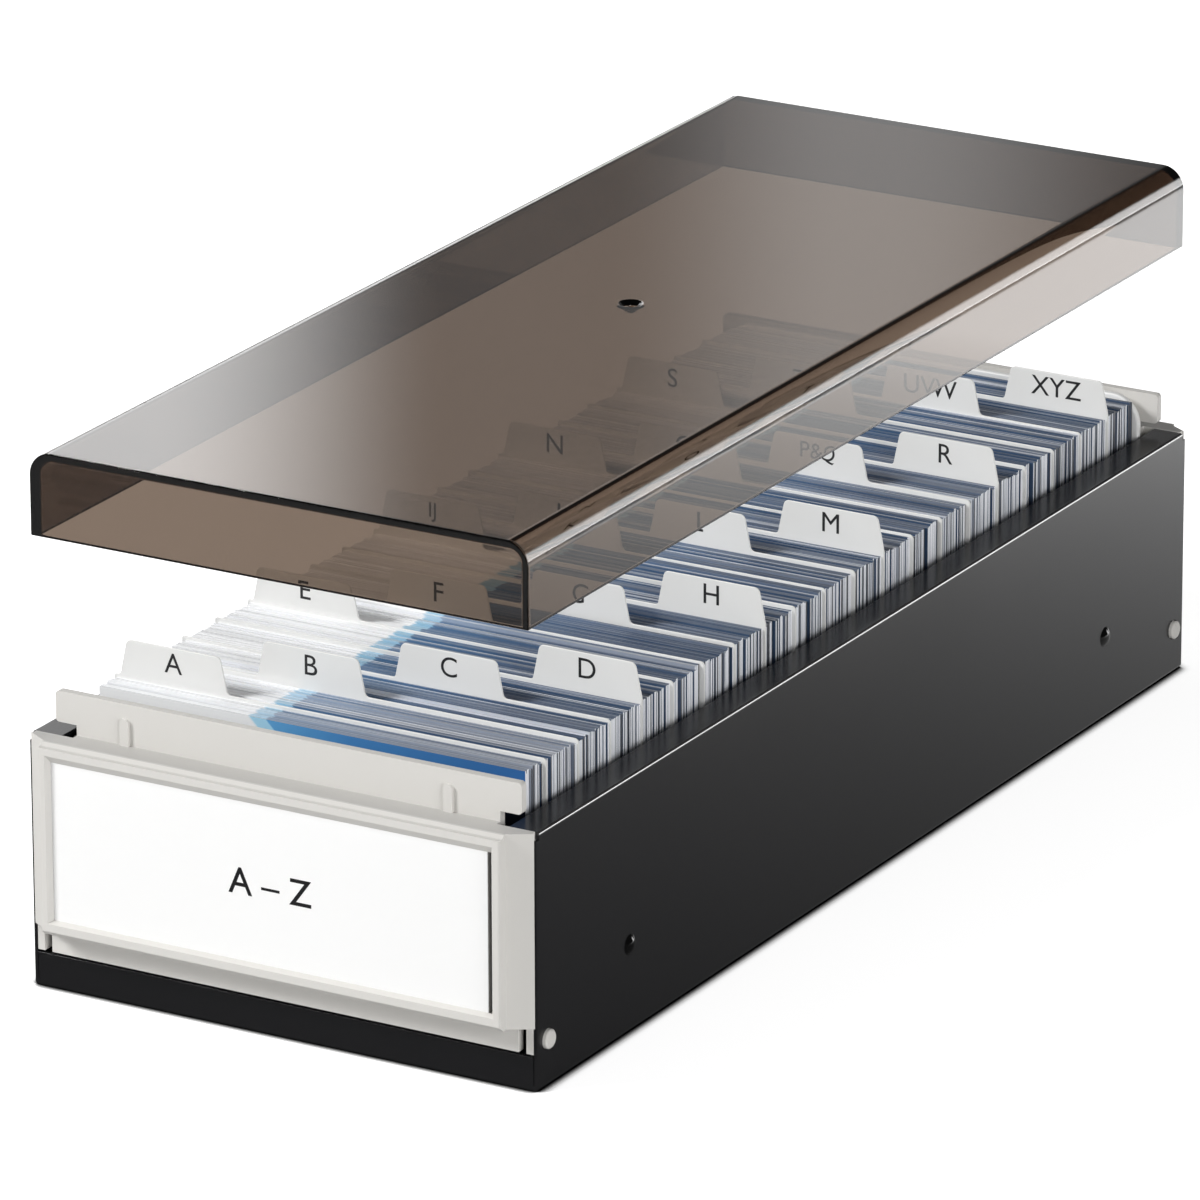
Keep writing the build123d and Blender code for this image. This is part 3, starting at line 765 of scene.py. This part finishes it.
divider_sheet, _, _ = coated("divider_sheet", (0.80, 0.80, 0.785), 2200.0, 0.006 * mm, 0.38, 0.5)
tab_letters = "A B C D E F G H IJ K L M N O P&Q R S T UVW XYZ".split()
tabs_in_row = 4
tab_height = 7.1 * mm
tab_foot = 23.3 * mm
tab_slant = 1.5 * mm
tab_corner = 1.2 * mm
left_margin = 1.25 * mm
sheet_roll = 0.12 * mm
tab_cap_height = 3.9 * mm
tab_letter_height = 4.1 * mm
tab_ink_lift = 0.006 * mm
letter_entries = []
for number, letters in enumerate(tab_letters):
    node = f"divider_{number + 1:02d}"
    low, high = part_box(node)
    shoulder = high.z - tab_height
    step = (high.x - low.x - left_margin - tab_foot) / (tabs_in_row - 1)
    centre = low.x + left_margin + tab_foot / 2 + (number % tabs_in_row) * step
    foot, crown = tab_foot / 2, tab_foot / 2 - tab_slant
    corners = [(low.x, low.z), (low.x, shoulder), (centre - foot, shoulder)]
    corners += [(centre - crown, high.z), (centre + crown, high.z)]
    radii = [0, 0.45 * mm, 0.7 * mm, tab_corner, tab_corner]
    if number % tabs_in_row == tabs_in_row - 1:
        # The last tab of a row runs down into the sheet's right edge
        corners += [(high.x, shoulder), (high.x, low.z)]
        radii += [tab_corner, 0]
    else:
        corners += [(centre + foot, shoulder), (high.x, shoulder), (high.x, low.z)]
        radii += [1.0 * mm, 0.9 * mm, 0]
    sheet = stamped_sheet(f"{node}_sheet", rounded_outline(corners, radii), low.y, high.y, sheet_roll)
    sheet.data.materials.append(divider_sheet)
    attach(sheet, "box")
    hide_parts(node)
    letter_middle = shoulder + tab_letter_height
    letter_entries.append((letters, tab_cap_height, centre, low.y - tab_ink_lift, letter_middle))
tab_ink = printed_words("tab_index_letters", letter_entries, 0.0)
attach(tab_ink, "box")

# Back plate: a stiff white sheet with large top corners that keeps the stack
# upright and slides a little between it and the rear panel.
plate_sheet, _, _ = coated("plate_sheet", (0.86, 0.86, 0.85), 2200.0, 0.006 * mm, 0.36, 0.48)
plate_corner, plate_roll = 6 * mm, 0.35 * mm
low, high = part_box("back_plate")
plate_corners = [(low.x, low.z), (low.x, high.z), (high.x, high.z), (high.x, low.z)]
plate_outline = rounded_outline(plate_corners, [0, plate_corner, plate_corner, 0], 16)
plate = stamped_sheet("back_plate_sheet", plate_outline, low.y, high.y, plate_roll, 4)
plate.data.materials.append(plate_sheet)
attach(plate, "back_plate")
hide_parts("back_plate")

# Lid: a clear cap of smoked acrylic, moulded with rolled long edges and square
# ends, with a dished gate mark in the middle of its top.
smoke = bpy.data.materials.new("smoked_acrylic")
smoke.use_nodes = True
nodes = smoke.node_tree.nodes
links = smoke.node_tree.links
smoke_shader = nodes["Principled BSDF"]
smoke_shader.inputs["Base Color"].default_value = (1.0, 1.0, 1.0, 1.0)
smoke_shader.inputs["Transmission Weight"].default_value = 1.0
smoke_shader.inputs["Roughness"].default_value = 0.0
smoke_shader.inputs["IOR"].default_value = 1.49
absorb = nodes.new("ShaderNodeVolumeAbsorption")
absorb.inputs["Color"].default_value = (0.3127, 0.178, 0.0560, 1.0)
absorb.inputs["Density"].default_value = 1240.0
links.new(absorb.outputs[0], nodes["Material Output"].inputs["Volume"])

lid_low, lid_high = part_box("lid")
lid_wall = 1.7 * mm
lid_roll = 4.6 * mm
lid_edge_roll = 0.25 * mm
arc_steps = 20


def lid_rows(inset):
    """The lid's profile, that far inside its outer faces, at the front and at the back: from
    the lower left edge up, over the top and down to the lower right edge, with a quarter
    circle at each top corner."""
    half, top, radius = lid_high.x - inset, lid_high.z - inset, lid_roll - inset
    turn = np.linspace(0, math.pi / 2, arc_steps)
    right = np.column_stack([np.sin(turn), np.cos(turn)]) * radius + (half - radius, top - radius)
    left = right[::-1] * (-1, 1)
    profile = np.concatenate([[(-half, lid_low.z)], left, right, [(half, lid_low.z)]])
    return [np.insert(profile, 1, y, axis=1) for y in (lid_low.y + inset, lid_high.y - inset)]


lid_points = lid_rows(0.0) + lid_rows(lid_wall)
row = len(lid_points[0])
side = 12
around = 4 * side
patch_half = 6 * mm


def dished_square(level, radii, drop, first, corners):
    """Points and upward faces of a flat square at level, joined to four corner points round
    it, with a round dish in its middle: ring k has radii[k] and lies drop[k] below, and the
    last drop is the middle's. first is the number of the first new point."""
    turn = math.radians(-135) + 2 * math.pi * np.arange(around) / around
    rings = np.stack([
        np.cos(turn) * radii[:, None],
        np.sin(turn) * radii[:, None],
        np.repeat(level - drop[:-1, None], around, 1),
    ], -1)
    # The front side of the square, from left to right, and the same turned by quarters
    front_side = np.column_stack([np.arange(side) / side * 2 - 1, np.full(side, -1.0)])
    right_side = front_side[:, ::-1] * (-1, 1)
    square = patch_half * np.concatenate([front_side, right_side, -front_side, -right_side])
    square = np.insert(square, 2, level, axis=1)
    points = np.concatenate([square, rings.reshape(-1, 3), [(0, 0, level - drop[-1])]])
    loops = np.arange((1 + len(radii)) * around).reshape(-1, around) + first
    border = np.append(loops[0], loops[0][0])
    faces = [
        (corners[k], corners[(k + 1) % 4], *border[k * side : (k + 1) * side + 1][::-1])
        for k in range(4)
    ]
    faces += ring_walls(loops).tolist()
    pole = first + len(points) - 1
    faces += [(a, b, pole) for a, b in zip(loops[-1], np.roll(loops[-1], -1))]
    return points, faces


# The dish falls as a cosine from its rim, with a low round bump in its middle. The wall
# bulges below it as a wider cosine.
dish_radii = np.array([2.6, 2.4, 2.2, 2.0, 1.7, 1.4, 1.1, 0.7, 0.35, 0.0]) * mm
dish_radius, dish_depth, bump_radius, bump_height = 2.4 * mm, 0.95 * mm, 1.1 * mm, 0.6 * mm
fall = np.clip((dish_radius - dish_radii) / (dish_radius - bump_radius), 0, 1)
dish_drop = dish_depth * (1 - np.cos(math.pi * fall)) / 2
dish_drop -= bump_height * (1 + np.cos(math.pi * np.clip(dish_radii / bump_radius, 0, 1))) / 2
bulge_radius, bulge_depth = 2.8 * mm, 1.5 * mm
bulge_radii = np.linspace(bulge_radius, 0, 11)
bulge_drop = bulge_depth * (1 + np.cos(math.pi * bulge_radii / bulge_radius)) / 2
# Point numbers of the outer faces' front and back row and of the inner faces' two rows
out_front, out_back, in_front, in_back = np.arange(4 * row).reshape(4, row)
# The flat top is the span after the left roll
flat = arc_steps
dish_points, dish_faces = dished_square(
    lid_high.z, dish_radii[:-1], dish_drop, 4 * row,
    (out_front[flat], out_front[flat + 1], out_back[flat + 1], out_back[flat]),
)
bulge_points, bulge_faces = dished_square(
    lid_high.z - lid_wall, bulge_radii[:-1], bulge_drop, 4 * row + len(dish_points),
    (in_front[flat], in_front[flat + 1], in_back[flat + 1], in_back[flat]),
)
points = np.concatenate([*lid_points, dish_points, bulge_points])
spans = np.delete(np.arange(row - 1), flat)
faces = dish_faces + [face[::-1] for face in bulge_faces]
for near, far in ((out_front, out_back), (in_back, in_front)):
    faces += np.column_stack([near[spans], near[spans + 1], far[spans + 1], far[spans]]).tolist()
faces += [out_front[::-1], out_back, in_front, in_back[::-1]]
# The rim that stands on the box, between the outer and the inner faces
faces += [
    (out_front[0], in_front[0], in_front[-1], out_front[-1]),
    (out_front[-1], in_front[-1], in_back[-1], out_back[-1]),
    (out_back[-1], in_back[-1], in_back[0], out_back[0]),
    (out_back[0], in_back[0], in_front[0], out_front[0]),
]
lid_mesh = bpy.data.meshes.new("lid_cap")
lid_mesh.from_pydata(points, [], [tuple(int(i) for i in face) for face in faces])
smooth_but_sharp(lid_mesh, 40)
lid_mesh.materials.append(smoke)
lid = new_piece("lid_cap", lid_mesh)
lid_edges = lid.modifiers.new("polished_edges", "BEVEL")
lid_edges.limit_method = "ANGLE"
lid_edges.angle_limit = math.radians(50)
lid_edges.width = lid_edge_roll
lid_edges.segments = 3
even_normals(lid)
# Lamps and sky light pass the thin clear lid as if it weren't there
lid.visible_shadow = False
lid.visible_diffuse = False
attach(lid, "lid")
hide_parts("lid")
